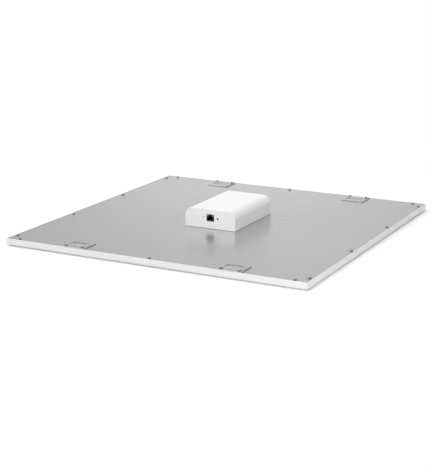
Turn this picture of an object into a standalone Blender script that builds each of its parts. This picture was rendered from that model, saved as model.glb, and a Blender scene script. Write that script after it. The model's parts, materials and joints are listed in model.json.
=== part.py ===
"""Lay-in ceiling panel with an edge-lit diffuser and a network-powered module on its back.

The panel lies as it does in a ceiling grid, with its lit face down.  +Z points up into the
ceiling void, -Y is the side that the network jack faces, and the origin is the centre of the
visible lower face.  Sizes are in metres.
"""

import math

import bmesh
import bpy
from mathutils import Matrix, Vector

MM = 0.001

# Driving dimensions of the panel.
PANEL_SIDE = 595 * MM
PANEL_HEIGHT = 14.2 * MM
TOTAL_HEIGHT = 50.8 * MM
HALF = PANEL_SIDE / 2
GAP = 0.3 * MM  # between pieces that meet
REST_GAP = 0.2 * MM  # under a piece that is screwed down flat

# Section of a frame rail: depth from the outer face, and height.
RAIL_WALL = 1.4 * MM
RAIL_DEPTH = 10.6 * MM
FLANGE_DEPTH = 15.0 * MM
FLANGE_THICKNESS = 1.2 * MM
LEDGE_TOP = 12.6 * MM
REBATE_HEIGHT, REBATE_DEPTH = 3.0 * MM, 3.8 * MM  # step along the outer lower edge

# Layers between the flange and the back plate, as lowest and highest point.
DIFFUSER_Z = (FLANGE_THICKNESS + REST_GAP, 3.3 * MM)
LIGHT_GUIDE_Z = (3.6 * MM, 6.6 * MM)
REFLECTOR_Z = (6.9 * MM, 7.2 * MM)
FOAM_Z = (7.5 * MM, 12.5 * MM)
BACK_PLATE_Z = (LEDGE_TOP + GAP, 13.7 * MM)
DECK = BACK_PLATE_Z[1]  # the height that everything on the back stands on

# Screws: one line all round the edge.
SCREW_LINE = HALF - 7.5 * MM
CORNER_SCREW = 272 * MM
SIDE_SCREW = 90.5 * MM
SHANK_RADIUS = 1.25 * MM
SHANK_LENGTH = 7.5 * MM
HEAD_RADIUS = 2.9 * MM
HEAD_HEIGHT = 1.8 * MM
PILOT_RADIUS = 1.5 * MM
CLEARANCE_RADIUS = 1.7 * MM

# Grid clips, two on the front edge and two on the back edge.
CLIP_X = 154.5 * MM
CLIP_SCREW_X = 17.25 * MM
CLIP_HALF_WIDTH = 24 * MM
CLIP_SHEET = 1.2 * MM
CLIP_OUTER, CLIP_INNER = 2.0 * MM, 44.5 * MM  # distances from the panel's outer face
WINDOW_HALF_WIDTH = 16.2 * MM
WINDOW_OUTER, WINDOW_INNER = 12.1 * MM, 34.1 * MM
FLAP_AXIS = Vector((0, 14.2 * MM, 1.5 * MM))  # across, inwards, above the deck
FLAP_HALF_WIDTH = 15.7 * MM
FLAP_END = 32.5 * MM
FLAP_SHEET = 0.4 * MM
KNUCKLE_RADIUS = 0.75 * MM
LUG_X, LUG_WIDTH, LUG_RADIUS = 17.4 * MM, 2.0 * MM, 1.5 * MM
PIVOT_REACH = 17.9 * MM
PIVOT_RADIUS = 0.6 * MM
PIVOT_HOLE_RADIUS = 0.7 * MM

# Module on the back.
MODULE_Y = 8.25 * MM
COVER_WIDTH = 104.6 * MM
COVER_LENGTH = 154.5 * MM
COVER_CORNER = 16 * MM
COVER_WALL = 2.2 * MM
COVER_EDGE = DECK + 0.5 * MM
FRONT_FACE_Y = MODULE_Y - COVER_LENGTH / 2
BASE_THICKNESS = 1.6 * MM
BASE_TOP = DECK + REST_GAP + BASE_THICKNESS
BOARD_Z = (DECK + 12.5 * MM, DECK + 14.1 * MM)
BOARD_HALF_WIDTH = 46 * MM
BOARD_Y = (FRONT_FACE_Y + 3.4 * MM, FRONT_FACE_Y + 146 * MM)
STANDOFF_XY = (40 * MM, 58 * MM)
JACK_X = 0.6 * MM
JACK_WIDTH = 15.4 * MM
JACK_HEIGHT = 12.8 * MM
JACK_LENGTH = 21 * MM
JACK_Z = BOARD_Z[1] + REST_GAP
LIGHT_OFFSET, LIGHT_Z = 14.6 * MM, DECK + 21 * MM  # to the left of the jack
RESET_OFFSET, RESET_Z = 15.2 * MM, DECK + 20.2 * MM  # to the right of it
RESET_RADIUS = 1.7 * MM
LEAD_Y = 52 * MM
LEAD_RADIUS = 1.3 * MM
LEAD_HOLE_RADIUS = 5.3 * MM
LEAD_RUN_Z = 10.5 * MM


def new_collection(name, hidden=False):
    collection = bpy.data.collections.new(name)
    bpy.context.scene.collection.children.link(collection)
    collection.hide_render = hidden
    return collection


def clear_scene():
    for obj in list(bpy.data.objects):
        bpy.data.objects.remove(obj)


def make_material(name, colour, roughness, metallic=0.0):
    material = bpy.data.materials.new(name)
    material.use_nodes = True
    shader = material.node_tree.nodes["Principled BSDF"]
    shader.inputs["Base Color"].default_value = (*colour, 1)
    shader.inputs["Roughness"].default_value = roughness
    shader.inputs["Metallic"].default_value = metallic
    return material


def add_part(name, mesh, material, location=(0, 0, 0), turn=0.0):
    """Places a mesh as a named part, turned about Z."""
    if not mesh.materials:
        mesh.materials.append(material)
    mesh.shade_smooth()
    mesh.set_sharp_from_angle(angle=math.radians(32))
    part = bpy.data.objects.new(name, mesh)
    part.location = location
    part.rotation_euler = (0, 0, turn)
    PARTS.objects.link(part)
    return part


def add_cutter(name, mesh):
    cutter = bpy.data.objects.new(name, mesh)
    cutter.display_type = "WIRE"
    cutter.hide_render = True
    CUTTERS.objects.link(cutter)
    return cutter


def boolean(part, mesh, operation="DIFFERENCE"):
    """Cuts the mesh from the part, or joins it on."""
    tool = add_cutter(f"{part.name}_{operation.lower()}_{len(part.modifiers)}", mesh)
    tool.matrix_world = part.matrix_basis.copy()
    modifier = part.modifiers.new(tool.name, "BOOLEAN")
    modifier.operation = operation
    modifier.object = tool
    return part


def applied(part):
    """The part's mesh with its modifiers applied; the part itself is removed."""
    graph = bpy.context.evaluated_depsgraph_get()
    mesh = bpy.data.meshes.new_from_object(part.evaluated_get(graph))
    mesh.name = part.name
    bpy.data.objects.remove(part)
    return mesh


def mesh_from(build, name="solid"):
    """A mesh made by calling build on an empty bmesh."""
    shape = bmesh.new()
    build(shape)
    mesh = bpy.data.meshes.new(name)
    shape.to_mesh(mesh)
    shape.free()
    return mesh


def add_box(shape, low, high):
    low, high = Vector(low), Vector(high)
    size = high - low
    place = Matrix.Translation((low + high) / 2) @ Matrix.Diagonal((*size, 1))
    bmesh.ops.create_cube(shape, size=1, matrix=place)


def add_rod(shape, radius, start, end, sides=12):
    start, end = Vector(start), Vector(end)
    along = end - start
    place = Matrix.Translation((start + end) / 2) @ along.to_track_quat("Z", "Y").to_matrix().to_4x4()
    bmesh.ops.create_cone(
        shape,
        cap_ends=True,
        segments=sides,
        radius1=radius,
        radius2=radius,
        depth=along.length,
        matrix=place,
    )


def box_mesh(low, high):
    return mesh_from(lambda shape: add_box(shape, low, high))


def rods_mesh(rods, sides=12):
    """Rods given as (radius, start, end), as one mesh."""

    def build(shape):
        for radius, start, end in rods:
            add_rod(shape, radius, start, end, sides)

    return mesh_from(build)


def arc(centre, radius, start, end, steps):
    """Points on an arc, angles in degrees, both ends included."""
    angles = [math.radians(start + (end - start) * i / steps) for i in range(steps + 1)]
    return [(centre[0] + radius * math.cos(a), centre[1] + radius * math.sin(a)) for a in angles]


def rounded_rectangle(low, high, radii, steps=5):
    """An outline with its own radius at each corner, from the lower right one round."""
    corners = (
        ((high[0], low[1]), (-1, 1), 270),
        ((high[0], high[1]), (-1, -1), 0),
        ((low[0], high[1]), (1, -1), 90),
        ((low[0], low[1]), (1, 1), 180),
    )
    points = []
    for (corner, inward, angle), radius in zip(corners, radii):
        centre = (corner[0] + inward[0] * radius, corner[1] + inward[1] * radius)
        points += arc(centre, radius, angle, angle + 90, steps) if radius else [corner]
    return points


def circle(centre, radius, sides=12):
    return arc(centre, radius, 0, 360 - 360 / sides, sides - 1)


def outline_mesh(loops, thickness):
    """Flat outlines, holes included, made solid from z = 0 to the thickness."""
    curve = bpy.data.curves.new("outline", "CURVE")
    curve.dimensions = "2D"
    curve.fill_mode = "BOTH"
    curve.extrude = thickness / 2
    for loop in loops:
        spline = curve.splines.new("POLY")
        spline.points.add(len(loop) - 1)
        spline.use_cyclic_u = True
        for point, (x, y) in zip(spline.points, loop):
            point.co = (x, y, 0, 1)
    holder = bpy.data.objects.new("outline", curve)
    PARTS.objects.link(holder)
    mesh = applied(holder)
    bpy.data.curves.remove(curve)
    mesh.transform(Matrix.Translation((0, 0, thickness / 2)))
    return welded(mesh)


def welded(mesh):
    """Joins the caps of a solid that came from a curve to its sides."""
    shape = bmesh.new()
    shape.from_mesh(mesh)
    bmesh.ops.remove_doubles(shape, verts=shape.verts, dist=0.00001)
    bmesh.ops.recalc_face_normals(shape, faces=shape.faces)
    shape.to_mesh(mesh)
    shape.free()
    return mesh


def turned_mesh(profile, steps=16):
    """A profile of (radius, height), run down its outer side, turned about Z."""
    mesh = bpy.data.meshes.new("profile")
    edges = [(i, i + 1) for i in range(len(profile) - 1)]
    mesh.from_pydata([(radius, 0, height) for radius, height in profile], edges, [])
    holder = bpy.data.objects.new("profile", mesh)
    PARTS.objects.link(holder)
    screw = holder.modifiers.new("turn", "SCREW")
    screw.steps = steps
    screw.render_steps = steps
    screw.use_merge_vertices = True
    screw.merge_threshold = 0.00001
    return applied(holder)


def tube_mesh(points, radius, bevel_resolution=2):
    """A round tube with closed ends through the points."""
    curve = bpy.data.curves.new("tube", "CURVE")
    curve.dimensions = "3D"
    curve.bevel_depth = radius
    curve.bevel_resolution = bevel_resolution
    curve.use_fill_caps = True
    spline = curve.splines.new("POLY")
    spline.points.add(len(points) - 1)
    for target, point in zip(spline.points, points):
        target.co = (*point, 1)
    holder = bpy.data.objects.new("tube", curve)
    PARTS.objects.link(holder)
    mesh = applied(holder)
    bpy.data.curves.remove(curve)
    return welded(mesh)


def bent_route(stops, radius, steps=5):
    """Straight runs between the stops, with a bend of the radius at each square corner."""
    route = [Vector(stops[0])]
    for before, corner, after in zip(stops, stops[1:], stops[2:]):
        corner = Vector(corner)
        back = (Vector(before) - corner).normalized() * radius
        ahead = (Vector(after) - corner).normalized() * radius
        for step in range(steps + 1):
            angle = math.pi / 2 * step / steps
            route.append(corner + back * (1 - math.sin(angle)) + ahead * (1 - math.cos(angle)))
    route.append(Vector(stops[-1]))
    return route


# Frame -------------------------------------------------------------------------------------


def rail_mesh():
    """One rail along X at the front, hollow, with mitred ends."""
    section = (
        (0, REBATE_HEIGHT),
        (REBATE_DEPTH, REBATE_HEIGHT),
        (REBATE_DEPTH, 0),
        (FLANGE_DEPTH, 0),
        (FLANGE_DEPTH, FLANGE_THICKNESS),
        (RAIL_DEPTH, FLANGE_THICKNESS),
        (RAIL_DEPTH, LEDGE_TOP),
        (RAIL_WALL, LEDGE_TOP),
        (RAIL_WALL, PANEL_HEIGHT),
        (0, PANEL_HEIGHT),
    )
    hollow = rounded_rectangle(
        (RAIL_WALL, REBATE_HEIGHT + RAIL_WALL),
        (RAIL_DEPTH - RAIL_WALL, LEDGE_TOP - RAIL_WALL),
        (0, 0, 0, 0),
    )
    mesh = outline_mesh([section, hollow], PANEL_SIDE)
    for vertex in mesh.vertices:
        end = 1 if vertex.co.z > HALF else -1
        vertex.co.z = end * (HALF - vertex.co.x - GAP / 2)
    along_x = Matrix(((0, 0, 1, 0), (1, 0, 0, -HALF), (0, 1, 0, 0), (0, 0, 0, 1)))
    mesh.transform(along_x)
    return mesh


def clip_screw_stations():
    return [clip + side for clip in (-CLIP_X, CLIP_X) for side in (-CLIP_SCREW_X, CLIP_SCREW_X)]


def make_frame(material):
    """Four mitred rails; each has pilot holes along its ledge."""
    plain = (-CORNER_SCREW, 0, CORNER_SCREW)
    sides = (-CORNER_SCREW, -SIDE_SCREW, SIDE_SCREW, CORNER_SCREW)
    layout = (
        ("front_rail", 0, [*plain, *clip_screw_stations()]),
        ("right_rail", 90, sides),
        ("back_rail", 180, [*plain, *clip_screw_stations()]),
        ("left_rail", 270, sides),
    )
    for name, degrees, stations in layout:
        rail = add_part(name, rail_mesh(), material, turn=math.radians(degrees))
        low, high = LEDGE_TOP - 2 * RAIL_WALL, LEDGE_TOP + RAIL_WALL
        holes = [(PILOT_RADIUS, (x, -SCREW_LINE, low), (x, -SCREW_LINE, high)) for x in stations]
        boolean(rail, rods_mesh(holes, 8))


def make_corner_keys(material):
    """An L-shaped key joins two rails inside their hollows, outside the line of screws."""
    near, far, reach = 1.8 * MM, 5.9 * MM, 32 * MM
    low, high = 4.8 * MM, 10.8 * MM
    corner = [(near, near), (reach, near), (reach, far), (far, far), (far, reach), (near, reach)]
    mesh = outline_mesh([[(x - HALF, y - HALF) for x, y in corner]], high - low)
    mesh.transform(Matrix.Translation((0, 0, low)))
    for index, place in enumerate(("front_left", "front_right", "back_right", "back_left")):
        add_part(f"corner_key_{place}", mesh, material, turn=math.radians(90 * index))


# Optical layers ----------------------------------------------------------------------------


def sheet_mesh(half_x, half_y, z_range):
    return box_mesh((-half_x, -half_y, z_range[0]), (half_x, half_y, z_range[1]))


def make_layers(materials):
    inside = HALF - RAIL_DEPTH
    lamp_side = inside - 2.4 * MM  # clear of the lamps along the left and right rails
    free_side = inside - 0.5 * MM
    add_part("diffuser", sheet_mesh(inside - GAP, inside - GAP, DIFFUSER_Z), materials["opal"])
    add_part("light_guide", sheet_mesh(lamp_side, free_side, LIGHT_GUIDE_Z), materials["acrylic"])
    add_part("reflector_sheet", sheet_mesh(lamp_side, free_side, REFLECTOR_Z), materials["reflector"])
    foam = add_part("backing_foam", sheet_mesh(lamp_side, free_side, FOAM_Z), materials["foam"])
    channel_half, channel_floor, above = 2 * MM, LEAD_RUN_Z - 1.6 * MM, FOAM_Z[1] + 1 * MM

    def pockets(shape):
        add_box(
            shape,
            (-HALF, LEAD_Y - channel_half, channel_floor),
            (HALF, LEAD_Y + channel_half, above),
        )

    boolean(foam, mesh_from(pockets))
    wells = [(6 * MM, (0, LEAD_Y, channel_floor - 0.2 * MM), (0, LEAD_Y, above))]
    wells += [(2.4 * MM, (x, MODULE_Y, 9 * MM), (x, MODULE_Y, above)) for x in module_screw_stations()]
    boolean(foam, rods_mesh(wells))


def make_led_strips(material):
    """A strip of lamps stands against the inside of the left and right rails."""
    outer = HALF - RAIL_DEPTH - GAP
    board, lamp = 1.0 * MM, 0.7 * MM
    half_length, pitch, count = 275 * MM, 20 * MM, 27
    low, high = 3.6 * MM, 12.1 * MM
    lamp_low, lamp_high, lamp_half = 3.9 * MM, 6.3 * MM, 1.8 * MM

    def lamps(shape):
        for index in range(count):
            y = (index - (count - 1) / 2) * pitch
            add_box(
                shape,
                (outer - board - lamp, y - lamp_half, lamp_low),
                (outer - board / 2, y + lamp_half, lamp_high),
            )

    for name, degrees in (("led_strip_right", 0), ("led_strip_left", 180)):
        mesh = box_mesh((outer - board, -half_length, low), (outer, half_length, high))
        strip = add_part(name, mesh, material, turn=math.radians(degrees))
        boolean(strip, mesh_from(lamps), "UNION")


def module_screw_stations():
    return (-30 * MM, 30 * MM)


def frame_screw_places():
    """Where the plain screws of the back plate go, as (x, y)."""
    places = [(x, side * SCREW_LINE) for side in (-1, 1) for x in (-CORNER_SCREW, 0, CORNER_SCREW)]
    lefts_and_rights = (-CORNER_SCREW, -SIDE_SCREW, SIDE_SCREW, CORNER_SCREW)
    return places + [(side * SCREW_LINE, y) for side in (-1, 1) for y in lefts_and_rights]


def clip_screw_places():
    return [(x, side * SCREW_LINE) for side in (-1, 1) for x in clip_screw_stations()]


def make_back_plate(material):
    half = HALF - RAIL_WALL - GAP
    outline = rounded_rectangle((-half, -half), (half, half), (0, 0, 0, 0))
    holes = [circle(place, CLEARANCE_RADIUS, 8) for place in frame_screw_places() + clip_screw_places()]
    holes += [circle((x, MODULE_Y), PILOT_RADIUS) for x in module_screw_stations()]
    holes.append(circle((0, LEAD_Y), LEAD_HOLE_RADIUS, 20))
    mesh = outline_mesh([outline, *holes], BACK_PLATE_Z[1] - BACK_PLATE_Z[0])
    mesh.transform(Matrix.Translation((0, 0, BACK_PLATE_Z[0])))
    add_part("back_plate", mesh, material)


# Screws ------------------------------------------------------------------------------------


def screw_mesh(shank_length):
    """A pan-head screw with a cross recess; z = 0 is the underside of its head."""
    profile = (
        (0, HEAD_HEIGHT),
        (0.55 * HEAD_RADIUS, 0.93 * HEAD_HEIGHT),
        (0.85 * HEAD_RADIUS, 0.68 * HEAD_HEIGHT),
        (HEAD_RADIUS, 0.3 * HEAD_HEIGHT),
        (HEAD_RADIUS, 0),
        (SHANK_RADIUS, 0),
        (SHANK_RADIUS, -shank_length + 0.8 * MM),
        (0, -shank_length),
    )
    screw = bpy.data.objects.new("screw", turned_mesh(profile, 8))
    PARTS.objects.link(screw)
    arm, half_width, depth = 1.5 * MM, 0.35 * MM, 1.0 * MM

    def bar(along_x):
        size = (arm, half_width) if along_x else (half_width, arm)
        return box_mesh(
            (-size[0], -size[1], HEAD_HEIGHT - depth), (size[0], size[1], HEAD_HEIGHT + depth)
        )

    boolean(screw, bar(True))
    boolean(screw, bar(False))
    return applied(screw)


def make_screws(material):
    long_screw = screw_mesh(SHANK_LENGTH)
    short_screw = screw_mesh(5 * MM)
    on_deck = DECK + REST_GAP
    for index, (x, y) in enumerate(frame_screw_places(), 1):
        add_part(f"frame_screw_{index:02d}", long_screw, material, (x, y, on_deck))
    on_clip = DECK + 2 * REST_GAP + CLIP_SHEET
    for index, (x, y) in enumerate(clip_screw_places(), 1):
        add_part(f"clip_screw_{index}", long_screw, material, (x, y, on_clip))
    for index, x in enumerate(module_screw_stations(), 1):
        add_part(f"module_screw_{index}", short_screw, material, (x, MODULE_Y, BASE_TOP + REST_GAP))


# Grid clips --------------------------------------------------------------------------------
# A clip is drawn across X, with Y as the distance in from the panel's outer face and z = 0 at
# the deck.


def clip_plate_mesh():
    """Sheet steel base with a window, and two lugs that carry the flap's pivots."""
    outline = rounded_rectangle(
        (-CLIP_HALF_WIDTH, CLIP_OUTER),
        (CLIP_HALF_WIDTH, CLIP_INNER),
        (1.5 * MM, 5 * MM, 5 * MM, 1.5 * MM),
        4,
    )
    window = rounded_rectangle(
        (-WINDOW_HALF_WIDTH, WINDOW_OUTER), (WINDOW_HALF_WIDTH, WINDOW_INNER), (0, 0, 0, 0)
    )
    screws = [circle((x, HALF - SCREW_LINE), CLEARANCE_RADIUS) for x in (-CLIP_SCREW_X, CLIP_SCREW_X)]
    mesh = outline_mesh([outline, window, *screws], CLIP_SHEET)
    mesh.transform(Matrix.Translation((0, 0, REST_GAP)))
    clip = bpy.data.objects.new("clip", mesh)
    PARTS.objects.link(clip)
    for side in (-1, 1):
        boolean(clip, lug_mesh(side * LUG_X), "UNION")
    side = Vector((PIVOT_REACH + 0.2 * MM, 0, 0))
    boolean(clip, rods_mesh([(PIVOT_HOLE_RADIUS, FLAP_AXIS - side, FLAP_AXIS + side)], 16))
    return applied(clip)


def across_x(loops, width, centre_x=0.0):
    """Loops drawn as (y, z), made solid over a width along X."""
    mesh = outline_mesh(loops, width)
    low = centre_x - width / 2
    mesh.transform(Matrix(((0, 0, 1, low), (1, 0, 0, 0), (0, 1, 0, 0), (0, 0, 0, 1))))
    return mesh


def lug_mesh(centre_x):
    """An upright boss with a round top, for a pivot hole."""
    axis = (FLAP_AXIS.y, FLAP_AXIS.z)
    foot = REST_GAP + CLIP_SHEET / 2
    outline = [(axis[0] - LUG_RADIUS, foot), (axis[0] + LUG_RADIUS, foot), *arc(axis, LUG_RADIUS, 0, 180, 8)]
    return across_x([outline], LUG_WIDTH, centre_x)


def flap_mesh():
    """A thin flap slopes down from its knuckle, and its inner end lies just over the deck."""
    near, height, half_sheet = FLAP_AXIS.y, FLAP_AXIS.z, FLAP_SHEET / 2
    section = (
        (near, height - half_sheet),
        (FLAP_END, REST_GAP),
        (FLAP_END, REST_GAP + FLAP_SHEET),
        (near, height + half_sheet),
    )
    flap = bpy.data.objects.new("flap", across_x([section], 2 * FLAP_HALF_WIDTH))
    PARTS.objects.link(flap)
    for radius, reach in ((KNUCKLE_RADIUS, FLAP_HALF_WIDTH - 0.1 * MM), (PIVOT_RADIUS, PIVOT_REACH)):
        side = Vector((reach, 0, 0))
        boolean(flap, rods_mesh([(radius, FLAP_AXIS - side, FLAP_AXIS + side)]), "UNION")
    return applied(flap)


def make_clips(plate_material, flap_material):
    """Each clip and its flap turn about the flap's axis, so that is where both have their origin."""
    plate, flap = clip_plate_mesh(), flap_mesh()
    for mesh in (plate, flap):
        mesh.transform(Matrix.Translation(-FLAP_AXIS))
    places = ((-1, -1), (1, -1), (-1, 1), (1, 1))
    for index, (side_x, side_y) in enumerate(places, 1):
        location = (side_x * CLIP_X, side_y * (HALF - FLAP_AXIS.y), DECK + FLAP_AXIS.z)
        turn = 0 if side_y < 0 else math.pi
        add_part(f"grid_clip_{index}", plate, plate_material, location, turn)
        add_part(f"clip_flap_{index}", flap, flap_material, location, turn)


# Module ------------------------------------------------------------------------------------


def cover_section(half_width, top, corner, bottom):
    """The cover's outline across X, from its open lower edge round both upper corners."""
    return [
        (half_width, bottom),
        *arc((half_width - corner, top - corner), corner, 0, 90, 8),
        *arc((-half_width + corner, top - corner), corner, 90, 180, 8),
        (-half_width, bottom),
    ]


def cover_block(inset, bottom):
    """The cover's outer shape, or its inside when inset by the wall."""
    section = cover_section(COVER_WIDTH / 2 - inset, TOTAL_HEIGHT - inset, COVER_CORNER - inset, bottom)
    length = COVER_LENGTH - 2 * inset
    mesh = outline_mesh([section], length)
    across_y = Matrix(
        ((1, 0, 0, 0), (0, 0, -1, MODULE_Y + length / 2), (0, 1, 0, 0), (0, 0, 0, 1))
    )
    mesh.transform(across_y)
    return mesh


def make_cover(material):
    cover = add_part("module_cover", cover_block(0, COVER_EDGE), material)
    bevel = cover.modifiers.new("soft ends", "BEVEL")
    bevel.width = 0.7 * MM
    bevel.segments = 2
    bevel.limit_method = "ANGLE"
    bevel.angle_limit = math.radians(50)
    boolean(cover, cover_block(COVER_WALL, COVER_EDGE - 5 * MM))
    before, behind = FRONT_FACE_Y - 1 * MM, FRONT_FACE_Y + COVER_WALL + 1 * MM
    half_port = JACK_WIDTH / 2 + GAP
    port = box_mesh(
        (JACK_X - half_port, before, JACK_Z - GAP),
        (JACK_X + half_port, behind, JACK_Z + JACK_HEIGHT + GAP),
    )
    boolean(cover, port)
    left, right = JACK_X - LIGHT_OFFSET, JACK_X + RESET_OFFSET
    holes = [
        (1.4 * MM, (left, before, LIGHT_Z), (left, behind, LIGHT_Z)),
        (RESET_RADIUS + GAP, (right, before, RESET_Z), (right, behind, RESET_Z)),
    ]
    boolean(cover, rods_mesh(holes))


def make_base(material):
    """A tray with four board posts, held to the back plate by two screws."""
    half_x = COVER_WIDTH / 2 - COVER_WALL - GAP
    half_y = COVER_LENGTH / 2 - COVER_WALL - GAP
    outline = rounded_rectangle(
        (-half_x, MODULE_Y - half_y), (half_x, MODULE_Y + half_y), (1 * MM,) * 4, 3
    )
    holes = [circle((x, MODULE_Y), CLEARANCE_RADIUS) for x in module_screw_stations()]
    holes.append(circle((0, LEAD_Y), LEAD_HOLE_RADIUS, 20))
    mesh = outline_mesh([outline, *holes], BASE_THICKNESS)
    mesh.transform(Matrix.Translation((0, 0, DECK + REST_GAP)))
    base = add_part("module_base", mesh, material)
    posts, pegs = [], []
    for x, y in post_places():
        posts.append((3 * MM, (x, y, BASE_TOP - 0.8 * MM), (x, y, BOARD_Z[0] - REST_GAP)))
        pegs.append((1.3 * MM, (x, y, BASE_TOP), (x, y, BOARD_Z[1] + 0.9 * MM)))
    boolean(base, rods_mesh(posts, 8), "UNION")
    boolean(base, rods_mesh(pegs, 8), "UNION")


def post_places():
    middle = (BOARD_Y[0] + BOARD_Y[1]) / 2
    x, y = STANDOFF_XY
    return [(side * x, middle + end * y) for side in (-1, 1) for end in (-1, 1)]


def make_board(material):
    """Circuit board with its chips and the tall body of the reset switch."""
    outline = rounded_rectangle(
        (-BOARD_HALF_WIDTH, BOARD_Y[0]), (BOARD_HALF_WIDTH, BOARD_Y[1]), (0, 0, 0, 0)
    )
    holes = [circle(place, 1.6 * MM, 10) for place in post_places()]
    holes.append(circle((0, LEAD_Y), 5 * MM))
    mesh = outline_mesh([outline, *holes], BOARD_Z[1] - BOARD_Z[0])
    mesh.transform(Matrix.Translation((0, 0, BOARD_Z[0])))
    board = add_part("main_board", mesh, material)
    foot = BOARD_Z[1] - 0.5 * MM
    chips = (
        ((-8, -38), (7, 7, 1.2)),
        ((14, -28), (5, 5, 1.4)),
        ((26, -34), (3, 6, 2.2)),
        ((-30, -36), (6, 4, 1.8)),
        ((0, 30), (4, 6, 2.4)),
    )

    def populate(shape):
        for (x, y), (half_x, half_y, height) in chips:
            add_box(
                shape,
                ((x - half_x) * MM, (y - half_y) * MM, foot),
                ((x + half_x) * MM, (y + half_y) * MM, BOARD_Z[1] + height * MM),
            )
        x = JACK_X + RESET_OFFSET
        add_box(
            shape,
            (x - 3.8 * MM, FRONT_FACE_Y + 4.2 * MM, foot),
            (x + 3.8 * MM, FRONT_FACE_Y + 9.2 * MM, RESET_Z + 3.6 * MM),
        )

    boolean(board, mesh_from(populate), "UNION")
    x = JACK_X + RESET_OFFSET
    bore = [(2.6 * MM, (x, FRONT_FACE_Y + 3 * MM, RESET_Z), (x, FRONT_FACE_Y + 7.4 * MM, RESET_Z))]
    boolean(board, rods_mesh(bore, 16))


def make_reset_button(material):
    """A collared plunger, just short of flush in the reset hole, with its origin on its own axis."""
    x, neck, collar = JACK_X + RESET_OFFSET, RESET_RADIUS, RESET_RADIUS + 0.5 * MM
    tip, shoulder = 5.6 * MM, 3.4 * MM
    profile = ((0, tip), (neck - 0.2 * MM, tip), (neck, tip - 0.2 * MM), (neck, shoulder), (collar, shoulder))
    profile += ((collar, 0), (0, 0))
    mesh = turned_mesh(profile, 12)
    mesh.transform(Matrix.Rotation(math.radians(90), 4, "X"))
    add_part("reset_button", mesh, material, (x, FRONT_FACE_Y + 6.4 * MM, RESET_Z))


def make_light_pipe(material):
    """Clear rod from the board's status lamp to the front face."""
    x, front, turn_y = JACK_X - LIGHT_OFFSET, FRONT_FACE_Y, FRONT_FACE_Y + 8 * MM
    radius = 1.1 * MM
    near, far = (x, front, LIGHT_Z), (x, turn_y, LIGHT_Z)
    reach = mesh_from(lambda shape: add_rod(shape, radius, near, far))
    pipe = add_part("light_pipe", reach, material)
    half = 1.3 * MM
    leg = box_mesh(
        (x - half, turn_y - 2 * half, JACK_Z), (x + half, turn_y + 0.1 * MM, LIGHT_Z + half)
    )
    boolean(pipe, leg, "UNION")


def make_jack(body_material, contact_material):
    """Eight-way network jack, latch upwards, and the contact block inside it."""
    front = FRONT_FACE_Y + 0.4 * MM
    half = JACK_WIDTH / 2
    jack = add_part(
        "network_jack",
        box_mesh((JACK_X - half, front, JACK_Z), (JACK_X + half, front + JACK_LENGTH, JACK_Z + JACK_HEIGHT)),
        body_material,
    )
    depth = 14 * MM
    mouth_low = JACK_Z + 1.4 * MM
    latch_steps = ((5.95 * MM, 6.9 * MM), (3.1 * MM, 8.4 * MM), (1.9 * MM, 9.8 * MM))
    for half_width, height in latch_steps:
        boolean(
            jack,
            box_mesh(
                (JACK_X - half_width, front - 1 * MM, mouth_low),
                (JACK_X + half_width, front + depth, mouth_low + height),
            ),
        )
    rear = front + depth - GAP
    block = add_part(
        "jack_contacts",
        box_mesh(
            (JACK_X - 5.4 * MM, rear - 2 * MM, mouth_low + GAP),
            (JACK_X + 5.4 * MM, rear, mouth_low + 5.5 * MM),
        ),
        contact_material,
    )
    pitch, half_wire = 1.02 * MM, 0.24 * MM

    def wires(shape):
        for index in range(8):
            x = JACK_X + (index - 3.5) * pitch
            add_rod(
                shape,
                half_wire,
                (x, rear - 1.5 * MM, mouth_low + 2.1 * MM),
                (x, rear - 9 * MM, mouth_low + 0.7 * MM),
                6,
            )

    boolean(block, mesh_from(wires), "UNION")


def make_components(materials):
    """Power parts that stand on the board."""
    seat = BOARD_Z[1] + REST_GAP
    core = box_mesh((9 * MM, 0, seat), (35 * MM, 22 * MM, seat + 16 * MM))
    transformer = add_part("transformer", core, materials["ferrite"])
    boolean(
        transformer,
        box_mesh((12 * MM, -4 * MM, seat + 3 * MM), (32 * MM, 26 * MM, seat + 13 * MM)),
        "UNION",
    )
    drum = (
        (0, 12 * MM), (8.5 * MM, 12 * MM), (8.5 * MM, 10.5 * MM), (6.8 * MM, 10.5 * MM),
        (6.8 * MM, 1.5 * MM), (8.5 * MM, 1.5 * MM), (8.5 * MM, 0), (0, 0),
    )
    add_part("inductor", turned_mesh(drum), materials["ferrite"], (-24 * MM, -4 * MM, seat))
    can = (
        (0, 16.6 * MM), (5.6 * MM, 16.6 * MM), (6.3 * MM, 16 * MM), (6.3 * MM, 3 * MM),
        (5.9 * MM, 2.4 * MM), (6.3 * MM, 1.8 * MM), (6.3 * MM, 0), (0, 0),
    )
    add_part("capacitor", turned_mesh(can), materials["can"], (-26 * MM, 28 * MM, seat))
    socket = add_part(
        "output_connector",
        box_mesh((-6 * MM, 62 * MM, seat), (6 * MM, 71 * MM, seat + 8 * MM)),
        materials["nylon"],
    )
    boolean(
        socket,
        box_mesh((-4.5 * MM, 61 * MM, seat + 2 * MM), (4.5 * MM, 66.5 * MM, seat + 6.4 * MM)),
    )


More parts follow.
